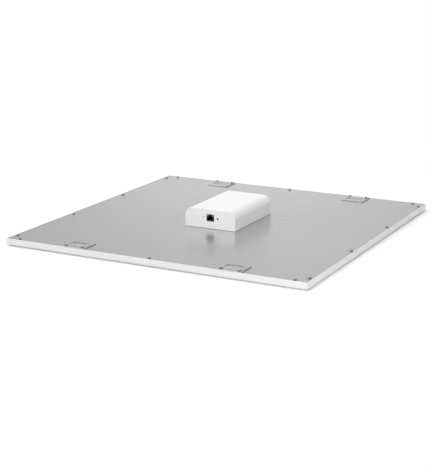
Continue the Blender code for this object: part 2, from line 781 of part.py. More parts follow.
def make_lead(material):
    """Two-way lead from the board's connector, down through the plate, out to both strips."""
    top = BOARD_Z[1] + 4.4 * MM
    strip_face = HALF - RAIL_DEPTH - GAP - 1.0 * MM
    stops = (
        (0, 66.2 * MM, top),
        (0, LEAD_Y, top),
        (0, LEAD_Y, LEAD_RUN_Z),
        (strip_face - GAP, LEAD_Y, LEAD_RUN_Z),
    )
    lead = add_part("led_lead", tube_mesh(bent_route(stops, 2.2 * MM), LEAD_RADIUS), material)
    inside_bend = (1.9 * MM, LEAD_Y, LEAD_RUN_Z)
    branch = mesh_from(
        lambda shape: add_rod(shape, 1.1 * MM, inside_bend, (GAP - strip_face, LEAD_Y, LEAD_RUN_Z))
    )
    boolean(lead, branch, "UNION")


def make_grommet(material):
    """Rubber bush that keeps the lead off the edges of the base and the back plate."""
    bore, body, brim = 2.0 * MM, 5.0 * MM, 7.0 * MM
    low, shoulder, top = DECK - 1.1 * MM, BASE_TOP + REST_GAP, BASE_TOP + 1.4 * MM
    profile = (
        (bore, top),
        (brim, top),
        (brim, shoulder),
        (body, shoulder),
        (body, low),
        (bore, low),
        (bore, top),
    )
    add_part("cable_grommet", turned_mesh(profile, 20), material, (0, LEAD_Y, 0))


def make_materials():
    """Name, colour, roughness and metallic value of each finish."""
    finishes = (
        ("frame_paint", (0.86, 0.86, 0.86), 0.45, 0.0),
        ("back_steel", (0.60, 0.60, 0.60), 0.32, 1.0),
        ("key_zinc", (0.45, 0.45, 0.47), 0.5, 1.0),
        ("opal", (0.88, 0.88, 0.87), 0.5, 0.0),
        ("acrylic", (0.85, 0.88, 0.88), 0.1, 0.0),
        ("reflector", (0.9, 0.9, 0.9), 0.6, 0.0),
        ("foam", (0.75, 0.75, 0.75), 0.95, 0.0),
        ("strip", (0.85, 0.85, 0.8), 0.5, 0.0),
        ("screw_steel", (0.35, 0.35, 0.36), 0.35, 1.0),
        ("clip_steel", (0.58, 0.58, 0.58), 0.3, 1.0),
        ("module_white", (0.85, 0.85, 0.85), 0.4, 0.0),
        ("board", (0.03, 0.16, 0.07), 0.4, 0.0),
        ("jack_black", (0.015, 0.015, 0.015), 0.35, 0.0),
        ("gold", (0.8, 0.6, 0.2), 0.25, 1.0),
        ("ferrite", (0.05, 0.05, 0.06), 0.6, 0.0),
        ("can", (0.5, 0.5, 0.52), 0.35, 1.0),
        ("nylon", (0.8, 0.8, 0.74), 0.5, 0.0),
        ("lead", (0.7, 0.7, 0.7), 0.5, 0.0),
        ("rubber", (0.04, 0.04, 0.04), 0.8, 0.0),
    )
    return {name: make_material(name, *values) for name, *values in finishes}


def main():
    materials = make_materials()
    make_frame(materials["frame_paint"])
    make_corner_keys(materials["key_zinc"])
    make_layers(materials)
    make_led_strips(materials["strip"])
    make_back_plate(materials["back_steel"])
    make_screws(materials["screw_steel"])
    make_clips(materials["clip_steel"], materials["clip_steel"])
    make_base(materials["module_white"])
    make_cover(materials["module_white"])
    make_board(materials["board"])
    make_reset_button(materials["jack_black"])
    make_light_pipe(materials["acrylic"])
    make_jack(materials["jack_black"], materials["gold"])
    make_components(materials)
    make_lead(materials["lead"])
    make_grommet(materials["rubber"])


clear_scene()
PARTS = new_collection("ceiling_panel")
CUTTERS = new_collection("cutters", hidden=True)
main()
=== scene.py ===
"""Looks of a lay-in ceiling panel with a network-powered module on its back, lying lit face down."""

import json
import math

import bmesh
import bpy
from mathutils import Matrix, Quaternion, Vector


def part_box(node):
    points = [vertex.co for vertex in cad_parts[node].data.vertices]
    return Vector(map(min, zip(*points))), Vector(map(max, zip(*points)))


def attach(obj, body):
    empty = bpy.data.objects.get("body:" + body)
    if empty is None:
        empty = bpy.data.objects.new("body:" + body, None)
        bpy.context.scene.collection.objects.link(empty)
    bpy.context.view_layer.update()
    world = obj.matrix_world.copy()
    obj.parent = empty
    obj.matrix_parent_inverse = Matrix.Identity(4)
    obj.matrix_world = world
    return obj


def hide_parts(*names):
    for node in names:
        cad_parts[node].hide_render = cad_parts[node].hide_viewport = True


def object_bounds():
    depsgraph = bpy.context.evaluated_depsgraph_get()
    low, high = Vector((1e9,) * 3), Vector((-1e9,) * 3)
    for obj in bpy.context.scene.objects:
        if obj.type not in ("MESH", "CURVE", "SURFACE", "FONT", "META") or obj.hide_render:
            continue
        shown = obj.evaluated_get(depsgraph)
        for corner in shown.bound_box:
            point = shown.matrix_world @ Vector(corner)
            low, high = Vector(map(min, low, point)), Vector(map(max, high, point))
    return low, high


MM = 0.001
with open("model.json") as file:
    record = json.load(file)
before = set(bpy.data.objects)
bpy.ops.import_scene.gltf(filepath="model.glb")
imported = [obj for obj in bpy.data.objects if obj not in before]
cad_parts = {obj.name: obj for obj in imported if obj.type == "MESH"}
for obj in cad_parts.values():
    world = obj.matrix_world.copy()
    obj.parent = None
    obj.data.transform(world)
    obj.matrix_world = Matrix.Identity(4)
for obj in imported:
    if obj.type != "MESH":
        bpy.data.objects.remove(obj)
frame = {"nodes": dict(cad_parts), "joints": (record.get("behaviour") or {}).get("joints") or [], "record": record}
NODES = frame["nodes"]
CAD_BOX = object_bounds()
PANEL = "panel"
HALF = CAD_BOX[1].x
WELD_DISTANCE = 0.004 * MM  # points closer than this become one
SHARP_ANGLE = 32  # degrees between faces, past which their edge is shaded sharp


# Shapes ------------------------------------------------------------------------------------


def arc(centre, radius, start, end, steps):
    """Points along an arc from one angle to another, in degrees."""
    angles = [math.radians(start + (end - start) * i / steps) for i in range(steps + 1)]
    return [(centre[0] + radius * math.cos(a), centre[1] + radius * math.sin(a)) for a in angles]


def circle(centre, radius, sides=48):
    return arc(centre, radius, 0, 360 - 360 / sides, sides - 1)


def filleted(corners, steps=6):
    """A closed outline through corners given as (x, y, radius)."""
    outline = []
    count = len(corners)
    for i, (x, y, radius) in enumerate(corners):
        corner = Vector((x, y))
        if radius <= 0:
            outline.append((x, y))
            continue
        back = (Vector(corners[i - 1][:2]) - corner).normalized()
        ahead = (Vector(corners[(i + 1) % count][:2]) - corner).normalized()
        half = math.acos(max(-1, min(1, back.dot(ahead)))) / 2
        centre = corner + (back + ahead).normalized() * (radius / math.sin(half))
        start = corner + back * (radius / math.tan(half)) - centre
        end = corner + ahead * (radius / math.tan(half)) - centre
        turn = math.atan2(start.x * end.y - start.y * end.x, start.dot(end))
        for step in range(steps + 1):
            cos, sin = math.cos(turn * step / steps), math.sin(turn * step / steps)
            spun = Vector((start.x * cos - start.y * sin, start.x * sin + start.y * cos))
            outline.append(tuple(centre + spun))
    return outline


def rectangle(low, high, radius=0.0, steps=6):
    (x0, y0), (x1, y1) = low, high
    return filleted([(x0, y0, radius), (x1, y0, radius), (x1, y1, radius), (x0, y1, radius)], steps)


def holder_for(data):
    """An object in the scene that holds data while it is being shaped."""
    holder = bpy.data.objects.new("shape", data)
    bpy.context.scene.collection.objects.link(holder)
    return holder


def evaluated(holder):
    """The mesh that a holder's modifiers or curve settings make; the holder goes."""
    graph = bpy.context.evaluated_depsgraph_get()
    mesh = bpy.data.meshes.new_from_object(holder.evaluated_get(graph))
    bpy.data.objects.remove(holder)
    return mesh


def cleaned(mesh):
    """The mesh with its loose edges welded and its faces pointing out."""
    shape = bmesh.new()
    shape.from_mesh(mesh)
    bmesh.ops.remove_doubles(shape, verts=shape.verts, dist=WELD_DISTANCE)
    bmesh.ops.recalc_face_normals(shape, faces=shape.faces)
    shape.to_mesh(mesh)
    shape.free()
    return mesh


def area_sign(loop):
    return sum(a[0] * b[1] - b[0] * a[1] for a, b in zip(loop, loop[1:] + loop[:1]))


def slab(loops, thickness, edge=0.0, resolution=2):
    """Outlines, the outer one first, made solid from z = 0 up, with rounded upper and lower edges."""
    curve = bpy.data.curves.new("outline", "CURVE")
    curve.dimensions = "2D"
    curve.fill_mode = "BOTH"
    curve.extrude = thickness / 2 - edge
    curve.bevel_depth = edge
    curve.offset = -edge
    curve.bevel_resolution = resolution
    for index, loop in enumerate(loops):
        loop = list(loop)
        if (area_sign(loop) > 0) != (index > 0):
            loop.reverse()
        spline = curve.splines.new("POLY")
        spline.points.add(len(loop) - 1)
        spline.use_cyclic_u = True
        for point, (x, y) in zip(spline.points, loop):
            point.co = (x, y, 0, 1)
    mesh = evaluated(holder_for(curve))
    bpy.data.curves.remove(curve)
    mesh.transform(Matrix.Translation((0, 0, thickness / 2)))
    return cleaned(mesh)


def across(outline, start, width, edge=0.0):
    """An outline of (y, z) points made solid from x = start, over a width."""
    mesh = slab([outline], width, edge)
    mesh.transform(Matrix(((0, 0, 1, start), (1, 0, 0, 0), (0, 1, 0, 0), (0, 0, 0, 1))))
    return mesh


def forwards(outline, rear, length, edge=0.0, resolution=2):
    """An outline of (x, z) points made solid from y = rear towards -Y, over a length."""
    mesh = slab([outline], length, edge, resolution)
    mesh.transform(Matrix(((1, 0, 0, 0), (0, 0, -1, rear), (0, 1, 0, 0), (0, 0, 0, 1))))
    return mesh


def chamfer(inner, outer, face_y, depth):
    """The wedge that a chamfer takes off the rim of a hole in a wall that faces -Y."""
    ahead = 0.02 * MM
    shape = bmesh.new()
    rings = []
    for loop, y in ((outer, face_y - ahead), (inner, face_y + depth)):
        rings.append([shape.verts.new((x, y, z)) for x, z in loop])
    count = len(inner)
    for i in range(count):
        j = (i + 1) % count
        shape.faces.new((rings[0][i], rings[0][j], rings[1][j], rings[1][i]))
    shape.faces.new(rings[0])
    shape.faces.new(rings[1])
    bmesh.ops.recalc_face_normals(shape, faces=shape.faces)
    mesh = bpy.data.meshes.new("chamfer")
    shape.to_mesh(mesh)
    shape.free()
    return mesh


def turned(profile, steps):
    """A profile of (radius, z), run down its outer side, turned about Z."""
    mesh = bpy.data.meshes.new("profile")
    mesh.from_pydata([(r, 0, z) for r, z in profile], [(i, i + 1) for i in range(len(profile) - 1)], [])
    holder = holder_for(mesh)
    screw = holder.modifiers.new("turn", "SCREW")
    screw.steps = screw.render_steps = steps
    screw.use_merge_vertices = True
    screw.merge_threshold = WELD_DISTANCE / 2
    return cleaned(evaluated(holder))


def tube(points, radius):
    curve = bpy.data.curves.new("tube", "CURVE")
    curve.dimensions = "3D"
    curve.bevel_depth = radius
    curve.bevel_resolution = 4
    curve.use_fill_caps = True
    spline = curve.splines.new("POLY")
    spline.points.add(len(points) - 1)
    for target, point in zip(spline.points, points):
        target.co = (*point, 1)
    mesh = evaluated(holder_for(curve))
    bpy.data.curves.remove(curve)
    return cleaned(mesh)


def joined(meshes):
    """Several closed shapes in one mesh."""
    shape = bmesh.new()
    for mesh in meshes:
        shape.from_mesh(mesh)
    result = bpy.data.meshes.new("joined")
    shape.to_mesh(result)
    shape.free()
    return result


def combine(mesh, tools, operation="DIFFERENCE"):
    """The mesh cut by the tools, or united with them."""
    holder = holder_for(mesh)
    helpers = []
    for tool in tools:
        helper = holder_for(tool)
        helpers.append(helper)
        modifier = holder.modifiers.new("cut", "BOOLEAN")
        modifier.operation = operation
        modifier.object = helper
    result = evaluated(holder)
    for helper in helpers:
        bpy.data.objects.remove(helper)
    return cleaned(result)


def smoothed(mesh):
    mesh.shade_smooth()
    mesh.set_sharp_from_angle(angle=math.radians(SHARP_ANGLE))


def piece(name, mesh, slot, nodes=(), finish=None, body=PANEL, location=(0, 0, 0), turn=0.0):
    """A visible piece in place of the CAD nodes named, in its slot's material or another finish."""
    if not mesh.materials:
        mesh.materials.append(MATERIALS[finish or slot])
    smoothed(mesh)
    made = bpy.data.objects.new(name, mesh)
    made.location = location
    made.rotation_euler = (0, 0, turn)
    bpy.context.scene.collection.objects.link(made)
    weighted = made.modifiers.new("flat faces", "WEIGHTED_NORMAL")
    weighted.keep_sharp = True
    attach(made, body)
    if nodes:
        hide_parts(*nodes)


# Materials ---------------------------------------------------------------------------------

NOISE_LOW, NOISE_HIGH = 0.3, 0.7  # most of a noise lies between these


def map_range(tree, source, low, high, new_low, new_high):
    """The source's range from low to high, mapped onto another."""
    node = tree.nodes.new("ShaderNodeMapRange")
    for key, value in (("From Min", low), ("From Max", high), ("To Min", new_low), ("To Max", new_high)):
        node.inputs[key].default_value = value
    tree.links.new(source, node.inputs["Value"])
    return node.outputs["Result"]


class Finish:
    """A Principled material and the few nodes that vary it."""

    def __init__(self, name, colour, roughness, metallic=0.0, **inputs):
        self.material = bpy.data.materials.new(name)
        self.material.use_nodes = True
        self.tree = self.material.node_tree
        self.shader = self.tree.nodes["Principled BSDF"]
        self.shader.inputs["Base Color"].default_value = (*colour, 1)
        self.shader.inputs["Roughness"].default_value = roughness
        self.shader.inputs["Metallic"].default_value = metallic
        for key, value in inputs.items():
            self.shader.inputs[key].default_value = value
        self.colour, self.roughness = colour, roughness
        self.coordinates = self.tree.nodes.new("ShaderNodeTexCoord")

    def noise(self, scale, detail=3.0, stretch=(1, 1, 1)):
        mapping = self.tree.nodes.new("ShaderNodeMapping")
        mapping.inputs["Scale"].default_value = stretch
        self.tree.links.new(self.coordinates.outputs["Object"], mapping.inputs["Vector"])
        noise = self.tree.nodes.new("ShaderNodeTexNoise")
        noise.inputs["Scale"].default_value = scale
        noise.inputs["Detail"].default_value = detail
        self.tree.links.new(mapping.outputs["Vector"], noise.inputs["Vector"])
        return noise.outputs["Fac"]

    def vary_roughness(self, source, spread):
        low, high = self.roughness - spread, self.roughness + spread
        mapped = map_range(self.tree, source, NOISE_LOW, NOISE_HIGH, low, high)
        self.tree.links.new(mapped, self.shader.inputs["Roughness"])

    def vary_colour(self, source, darkest):
        """Shades from darkest, a factor, up to the full colour."""
        ramp = self.tree.nodes.new("ShaderNodeValToRGB")
        for element, place, factor in zip(ramp.color_ramp.elements, (NOISE_LOW, NOISE_HIGH), (darkest, 1)):
            element.position = place
            element.color = (*(c * factor for c in self.colour), 1)
        self.tree.links.new(source, ramp.inputs["Fac"])
        self.tree.links.new(ramp.outputs["Color"], self.shader.inputs["Base Color"])

    def bump(self, source, strength, distance):
        bump = self.tree.nodes.new("ShaderNodeBump")
        bump.inputs["Strength"].default_value = strength
        bump.inputs["Distance"].default_value = distance
        self.tree.links.new(source, bump.inputs["Height"])
        self.tree.links.new(bump.outputs["Normal"], self.shader.inputs["Normal"])


def painted(name, colour, roughness=0.42):
    """Powder coat, with its fine orange peel."""
    finish = Finish(name, colour, roughness)
    finish.vary_colour(finish.noise(9), 0.985)
    finish.vary_roughness(finish.noise(60), 0.03)
    finish.bump(finish.noise(1400, 2), 0.12, 0.04 * MM)
    return finish.material


def moulded(name, colour, roughness=0.4, grain=2600, strength=0.15):
    """Plastic, rubber or foam with a moulded grain."""
    finish = Finish(name, colour, roughness)
    finish.vary_colour(finish.noise(14), 0.985)
    finish.vary_roughness(finish.noise(120), 0.03)
    finish.bump(finish.noise(grain, 3), strength, 0.03 * MM)
    return finish.material


def metal(name, colour, roughness, spread=0.05, grain=1800, strength=0.1, stretch=(1, 1, 1)):
    """Plated or bare metal; a stretch below 1 draws its grain out along that axis."""
    finish = Finish(name, colour, roughness, 1.0)
    finish.vary_colour(finish.noise(30, 4, stretch), 0.94)
    finish.vary_roughness(finish.noise(300, 3, stretch), spread)
    finish.bump(finish.noise(grain, 3, stretch), strength, 0.02 * MM)
    return finish.material


def satin_zinc(name, roughness):
    """The clips' sheet metal, rolled along X."""
    return metal(name, (0.63, 0.63, 0.635), roughness, 0.02, 1500, 0.03, (0.1, 1, 1))


def sheet_metal():
    """Satin rolled sheet: fine lines along X, and slow shifts in its colour."""
    finish = Finish("back_plate_satin_metal", (0.63, 0.63, 0.633), 0.27, 1.0, Anisotropic=0.25)
    finish.vary_colour(finish.noise(5, 2), 0.975)
    finish.vary_roughness(finish.noise(700, 4, (0.02, 1, 1)), 0.004)
    finish.bump(finish.noise(2500, 3, (0.05, 1, 1)), 0.002, 0.01 * MM)
    return finish.material


MATERIALS = {
    "frame": painted("frame_white_powder_coat", (0.73, 0.73, 0.73)),
    "back_plate": sheet_metal(),
    "corner_key": metal("corner_key_cast_zinc", (0.55, 0.55, 0.57), 0.5),
    "diffuser": moulded("diffuser_opal", (0.88, 0.88, 0.87), 0.5, 3000, 0.1),
    "light_guide": moulded("light_guide_acrylic", (0.82, 0.86, 0.86), 0.12, 800, 0.02),
    "reflector": moulded("reflector_film", (0.9, 0.9, 0.9), 0.55),
    "foam": moulded("backing_foam", (0.75, 0.75, 0.74), 0.95, 900, 0.8),
    "led_strip": moulded("led_strip_white", (0.85, 0.85, 0.8), 0.45),
    "screw": metal("screw_dark_zinc", (0.26, 0.26, 0.265), 0.3, 0.04),
    "flap": satin_zinc("clip_flap_satin_zinc", 0.36),
    "clip": satin_zinc("clip_satin_zinc", 0.27),
    "module": moulded("module_white_plastic", (0.86, 0.86, 0.86), 0.4),
    "board": moulded("board_solder_mask", (0.02, 0.13, 0.05), 0.3, 1800, 0.3),
    "jack": moulded("jack_black_plastic", (0.012, 0.012, 0.013), 0.35),
    "contacts": metal("contact_gold", (0.85, 0.62, 0.24), 0.22),
    "light_pipe": moulded("light_pipe_smoked", (0.40, 0.41, 0.40), 0.2, 800, 0.05),
    "button": moulded("button_dark_plastic", (0.03, 0.03, 0.03), 0.45),
    "ferrite": moulded("ferrite_black", (0.03, 0.03, 0.035), 0.6, 1200, 0.5),
    "capacitor": metal("capacitor_can", (0.6, 0.6, 0.62), 0.35),
    "connector": moulded("connector_nylon", (0.8, 0.8, 0.74), 0.45),
    "lead": moulded("lead_jacket", (0.7, 0.7, 0.7), 0.5),
    "rubber": moulded("grommet_rubber", (0.03, 0.03, 0.03), 0.75, 1200, 0.4),
    "lens": moulded("jack_lamp_lens", (0.32, 0.33, 0.30), 0.25, 800, 0.05),
}


def finish_cad_nodes():
    """Every node that stays visible takes the material of its slot."""
    slots = {entry["node"]: entry["material_slot"] for entry in frame["record"]["subparts"]}
    for name, node in NODES.items():
        node.data.materials.clear()
        node.data.materials.append(MATERIALS[slots[name]])
        smoothed(node.data)


# Frame -------------------------------------------------------------------------------------


def build_rails():
    """One hollow extrusion, mitred at both ends, on all four sides."""
    flange, web, wall, sheet = 15.0 * MM, 10.6 * MM, 1.4 * MM, 1.2 * MM
    step_height, step_depth = 3.0 * MM, 3.8 * MM
    ledge, height = 12.6 * MM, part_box("front_rail")[1].z
    mitre_gap = 0.08 * MM
    section = filleted(
        [
            (0, step_height, 0.3 * MM),
            (step_depth, step_height, 0.2 * MM),
            (step_depth, 0, 0.3 * MM),
            (flange, 0, 0.25 * MM),
            (flange, sheet, 0.25 * MM),
            (web, sheet, 0.3 * MM),
            (web, ledge, 0.25 * MM),
            (wall, ledge, 0.25 * MM),
            (wall, height, 0.3 * MM),
            (0, height, 0.45 * MM),
        ],
        5,
    )
    hollow = rectangle((wall, step_height + wall), (web - wall, ledge - wall), 0.4 * MM, 3)
    rail = slab([section, hollow], 2 * HALF)
    for vertex in rail.vertices:
        end = 1 if vertex.co.z > HALF else -1
        vertex.co.z = end * (HALF - vertex.co.x - mitre_gap)
    # The section's depth becomes Y, in from the front face, and the rail's length becomes X.
    rail.transform(Matrix(((0, 0, 1, 0), (1, 0, 0, -HALF), (0, 1, 0, 0), (0, 0, 0, 1))))
    for index, name in enumerate(("front_rail", "right_rail", "back_rail", "left_rail")):
        piece(f"{name}_extrusion", rail, "frame", [name], turn=math.pi / 2 * index)


# Screws ------------------------------------------------------------------------------------

HEAD_RADIUS, HEAD_HEIGHT = 2.9 * MM, 1.8 * MM
HEAD_RIM = 0.3  # where the dome starts, as a share of the head's height
HEAD_CHAMFER = 0.12 * MM
DOME_ANGLES = (0, 0.25, 0.5, 0.75, 1.0, 1.2, 1.4, 1.57)  # radians from the top of the dome
SHANK_RADIUS, POINT_LENGTH = 1.2 * MM, 0.8 * MM
RECESS_FOOT, RECESS_MOUTH, RECESS_BLADE = 0.55 * MM, 1.75 * MM, 0.36 * MM
RECESS_LENGTH, RECESS_MIDDLE = 1.5 * MM, 0.35 * MM  # and its middle's depth under the top
RECESS_TURN = 20
TURN_STEP = 37  # degrees from one screw's angle to the next


def cross_cutters():
    """Two tapered blades that cross in a screw's head."""
    middle = Matrix.Translation((0, 0, HEAD_HEIGHT - RECESS_MIDDLE))
    cutters = []
    for angle in (0, 90):
        blade = bmesh.new()
        bmesh.ops.create_cone(
            blade,
            cap_ends=True,
            segments=4,
            radius1=RECESS_FOOT,
            radius2=RECESS_MOUTH,
            depth=RECESS_LENGTH,
            matrix=middle @ Matrix.Rotation(math.radians(45), 4, "Z"),
        )
        for vertex in blade.verts:
            vertex.co.y = math.copysign(RECESS_BLADE, vertex.co.y)
        cutter = bpy.data.meshes.new("cross")
        blade.to_mesh(cutter)
        blade.free()
        cutter.transform(Matrix.Rotation(math.radians(angle + RECESS_TURN), 4, "Z"))
        cutters.append(cutter)
    return cutters


def screw_mesh(length):
    """Pan head with a tapered cross recess, its underside at z = 0."""
    profile = [
        *(
            (HEAD_RADIUS * math.sin(angle), HEAD_HEIGHT * (HEAD_RIM + (1 - HEAD_RIM) * math.cos(angle)))
            for angle in DOME_ANGLES
        ),
        (HEAD_RADIUS, HEAD_CHAMFER),
        (HEAD_RADIUS - HEAD_CHAMFER, 0),
        (SHANK_RADIUS, 0),
        (SHANK_RADIUS, POINT_LENGTH - length),
        (0, -length),
    ]
    return combine(turned(profile, 40), cross_cutters())


def build_screws():
    """Every screw, each turned to a different angle, as screws end up."""
    names = sorted(n for n in NODES if "screw" in n)
    meshes = {}
    for index, name in enumerate(names):
        low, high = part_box(name)
        seat = high.z - HEAD_HEIGHT
        length = round(seat - low.z, 5)
        if length not in meshes:
            meshes[length] = screw_mesh(length)
        centre = (low + high) / 2
        place = (centre.x, centre.y, seat)
        turn = math.radians(TURN_STEP * index % 90)
        piece(f"{name}_pan_head", meshes[length], "screw", [name], location=place, turn=turn)


# Grid clips --------------------------------------------------------------------------------
# Drawn across X, with Y as the distance in from the panel's outer face and z = 0 at the deck.

AXIS_IN, AXIS_UP = 14.2 * MM, 1.5 * MM
CLIP_HALF_WIDTH, CLIP_OUTER, CLIP_INNER = 24 * MM, 2.0 * MM, 44.5 * MM
CLIP_SEAT, CLIP_SHEET, CLIP_EDGE = 0.2 * MM, 1.2 * MM, 0.15 * MM
OUTER_CORNER, INNER_CORNER = 1.5 * MM, 5 * MM
WINDOW_HALF_WIDTH, WINDOW_OUTER, WINDOW_INNER = 16.2 * MM, 12.1 * MM, 34.1 * MM
CLIP_SCREW_X, CLIP_SCREW_IN, CLIP_SCREW_HOLE = 17.25 * MM, 7.5 * MM, 1.7 * MM
LUG_X, LUG_WIDTH, LUG_RADIUS, LUG_EDGE = 17.4 * MM, 2.0 * MM, 1.5 * MM, 0.25 * MM
FLAP_HALF_WIDTH, FLAP_END, FLAP_SHEET = 15.7 * MM, 32.5 * MM, 0.4 * MM
KNUCKLE_RADIUS = 0.75 * MM
PIVOT_REACH, PIVOT_RADIUS, PIVOT_HOLE = 17.9 * MM, 0.6 * MM, 0.7 * MM


def rod_mesh(radius, reach, edge=0.0):
    """A rod on the flap's axis, as far to either side."""
    return across(circle((AXIS_IN, AXIS_UP), radius, 40), -reach, 2 * reach, edge)


def lug_mesh(centre_x):
    """An upright boss with a round top, which holds one end of the pin."""
    foot = CLIP_SEAT + CLIP_SHEET / 2
    outline = [
        (AXIS_IN - LUG_RADIUS, foot),
        (AXIS_IN + LUG_RADIUS, foot),
        *arc((AXIS_IN, AXIS_UP), LUG_RADIUS, 0, 180, 24),
    ]
    return across(outline, centre_x - LUG_WIDTH / 2, LUG_WIDTH, LUG_EDGE)


def clip_plate_mesh():
    outline = filleted(
        [
            (-CLIP_HALF_WIDTH, CLIP_OUTER, OUTER_CORNER),
            (CLIP_HALF_WIDTH, CLIP_OUTER, OUTER_CORNER),
            (CLIP_HALF_WIDTH, CLIP_INNER, INNER_CORNER),
            (-CLIP_HALF_WIDTH, CLIP_INNER, INNER_CORNER),
        ],
        10,
    )
    window = rectangle((-WINDOW_HALF_WIDTH, WINDOW_OUTER), (WINDOW_HALF_WIDTH, WINDOW_INNER), 0.6 * MM)
    screws = [circle((x, CLIP_SCREW_IN), CLIP_SCREW_HOLE) for x in (-CLIP_SCREW_X, CLIP_SCREW_X)]
    plate = slab([outline, window, *screws], CLIP_SHEET, CLIP_EDGE)
    plate.transform(Matrix.Translation((0, 0, CLIP_SEAT)))
    plate = combine(plate, [lug_mesh(-LUG_X), lug_mesh(LUG_X)], "UNION")
    return combine(plate, [rod_mesh(PIVOT_HOLE, PIVOT_REACH + 0.2 * MM)])


def strip(path, thickness):
    """The outline of a bent sheet whose middle follows the path."""
    sides = ([], [])
    for i, point in enumerate(path):
        before, after = Vector(path[max(i - 1, 0)]), Vector(path[min(i + 1, len(path) - 1)])
        run = (after - before).normalized() * (thickness / 2)
        sides[0].append((point[0] - run.y, point[1] + run.x))
        sides[1].append((point[0] + run.y, point[1] - run.x))
    return sides[0] + sides[1][::-1]


def pivots(start):
    """The pin's two ends, from start on each side to where they stop in the lugs."""
    ends = []
    for side in (-1, 1):
        end = rod_mesh(PIVOT_RADIUS, (PIVOT_REACH - start) / 2, 0.12 * MM)
        end.transform(Matrix.Translation((side * (PIVOT_REACH + start) / 2, 0, 0)))
        ends.append(end)
    return ends


def flap_mesh():
    """A thin sheet that slopes up to its hinge, where it curls round the pin."""
    curl = KNUCKLE_RADIUS - FLAP_SHEET / 2
    centre = Vector((AXIS_IN, AXIS_UP))
    tip = Vector((FLAP_END, CLIP_SEAT + FLAP_SHEET / 2))
    slope = math.degrees(math.atan2(centre.y - curl - tip.y, FLAP_END - centre.x))
    path = [tuple(tip), *arc(centre, curl, 270 - slope, -20 - slope, 30)]
    blade = across(strip(path, FLAP_SHEET), -FLAP_HALF_WIDTH, 2 * FLAP_HALF_WIDTH, 0.1 * MM)
    pin = rod_mesh(curl - FLAP_SHEET / 2 - 0.01 * MM, FLAP_HALF_WIDTH + 0.2 * MM)
    return joined([blade, pin, *pivots(FLAP_HALF_WIDTH + 0.1 * MM)])


def build_clips():
    """Four alike; those at the back are turned half round. Each has its origin on its hinge."""
    plate, flap = clip_plate_mesh(), flap_mesh()
    to_axis = Matrix.Translation((0, -AXIS_IN, -AXIS_UP))
    plate.transform(to_axis)
    flap.transform(to_axis)
    for index in range(1, 5):
        swing = f"clip_flap_{index}"
        hinge = next(joint for joint in frame["joints"] if joint["child"] == swing)
        place = {"location": hinge["pos_m"], "turn": 0 if hinge["pos_m"][1] < 0 else math.pi}
        piece(f"grid_clip_{index}_plate", plate, "clip", [f"grid_clip_{index}"], **place)
        piece(f"{swing}_curled", flap, "clip", [swing], "flap", swing, **place)


# Module ------------------------------------------------------------------------------------

COVER_WALL, COVER_CORNER, COVER_EDGE = 2.2 * MM, 16 * MM, 0.8 * MM
JACK_GAP, JACK_CHAMFER = 0.3 * MM, 0.3 * MM  # round the jack, in the cover's front
LIGHT_HOLE, RESET_HOLE, HOLE_CHAMFER = 1.3 * MM, 2.0 * MM, 0.1 * MM
WALL_CUT, CLEAR_CUT = 4 * MM, 2 * MM  # how far a cutter reaches behind and before the front


def cover_section(half_width, top, corner, bottom):
    return [
        (half_width, bottom),
        *arc((half_width - corner, top - corner), corner, 0, 90, 28),
        *arc((corner - half_width, top - corner), corner, 90, 180, 28),
        (-half_width, bottom),
    ]


def wall_cutters(inner, outer, face_y, depth):
    """A hole through the cover's front wall, and its chamfer."""
    hole = forwards(inner, face_y + WALL_CUT, WALL_CUT + CLEAR_CUT)
    return [hole, chamfer(inner, outer, face_y, depth)]


def build_cover():
    low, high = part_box("module_cover")
    half, length = (high.x - low.x) / 2, high.y - low.y
    skirt = 3 * MM  # cut off again, so that only the other edges are rounded
    section = cover_section(half, high.z, COVER_CORNER, low.z - skirt)
    shell = forwards(section, high.y, length, COVER_EDGE, 4)
    top, corner = high.z - COVER_WALL, COVER_CORNER - COVER_WALL
    section = cover_section(half - COVER_WALL, top, corner, low.z - 5 * MM)
    inside = forwards(section, high.y - COVER_WALL, length - 2 * COVER_WALL)
    below = rectangle((-half - skirt, low.z - 2 * skirt), (half + skirt, low.z))
    tools = [inside, forwards(below, high.y + skirt, length + 2 * skirt)]

    jack_low, jack_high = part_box("network_jack")
    mouth, rim = (
        rectangle((jack_low.x - gap, jack_low.z - gap), (jack_high.x + gap, jack_high.z + gap), radius)
        for gap, radius in ((JACK_GAP, 0.5 * MM), (JACK_GAP + JACK_CHAMFER, 0.8 * MM))
    )
    tools.extend(wall_cutters(mouth, rim, low.y, JACK_CHAMFER))

    pipe_low, pipe_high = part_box("light_pipe")
    button_low, button_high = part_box("reset_button")
    holes = (
        ((pipe_low.x + pipe_high.x) / 2, pipe_high.z - LIGHT_HOLE, LIGHT_HOLE),
        ((button_low.x + button_high.x) / 2, (button_low.z + button_high.z) / 2, RESET_HOLE),
    )
    for x, z, radius in holes:
        hole, rim = circle((x, z), radius, 40), circle((x, z), radius + HOLE_CHAMFER, 40)
        tools.extend(wall_cutters(hole, rim, low.y, HOLE_CHAMFER))
    piece("module_cover_shell", combine(shell, tools), "module", ["module_cover"])


# The jack's mouth, up from its lower edge: half widths and heights of its three steps.
MOUTH_FOOT = 1.4 * MM  # above the jack's underside
MOUTH_HALF, MOUTH_HEIGHT = 5.95 * MM, 6.9 * MM
SHOULDER_HALF, SHOULDER_HEIGHT = 3.1 * MM, 8.4 * MM
LATCH_HALF, LATCH_HEIGHT = 1.9 * MM, 9.8 * MM
MOUTH_DEPTH = 14 * MM
LENS_INNER, LENS_OUTER, LENS_FOOT, LENS_MARGIN = 3.9 * MM, 7.1 * MM, 7.5 * MM, 0.6 * MM
LENS_POCKET, LENS_GAP, LENS_THICKNESS = 1.2 * MM, 0.08 * MM, 1.0 * MM


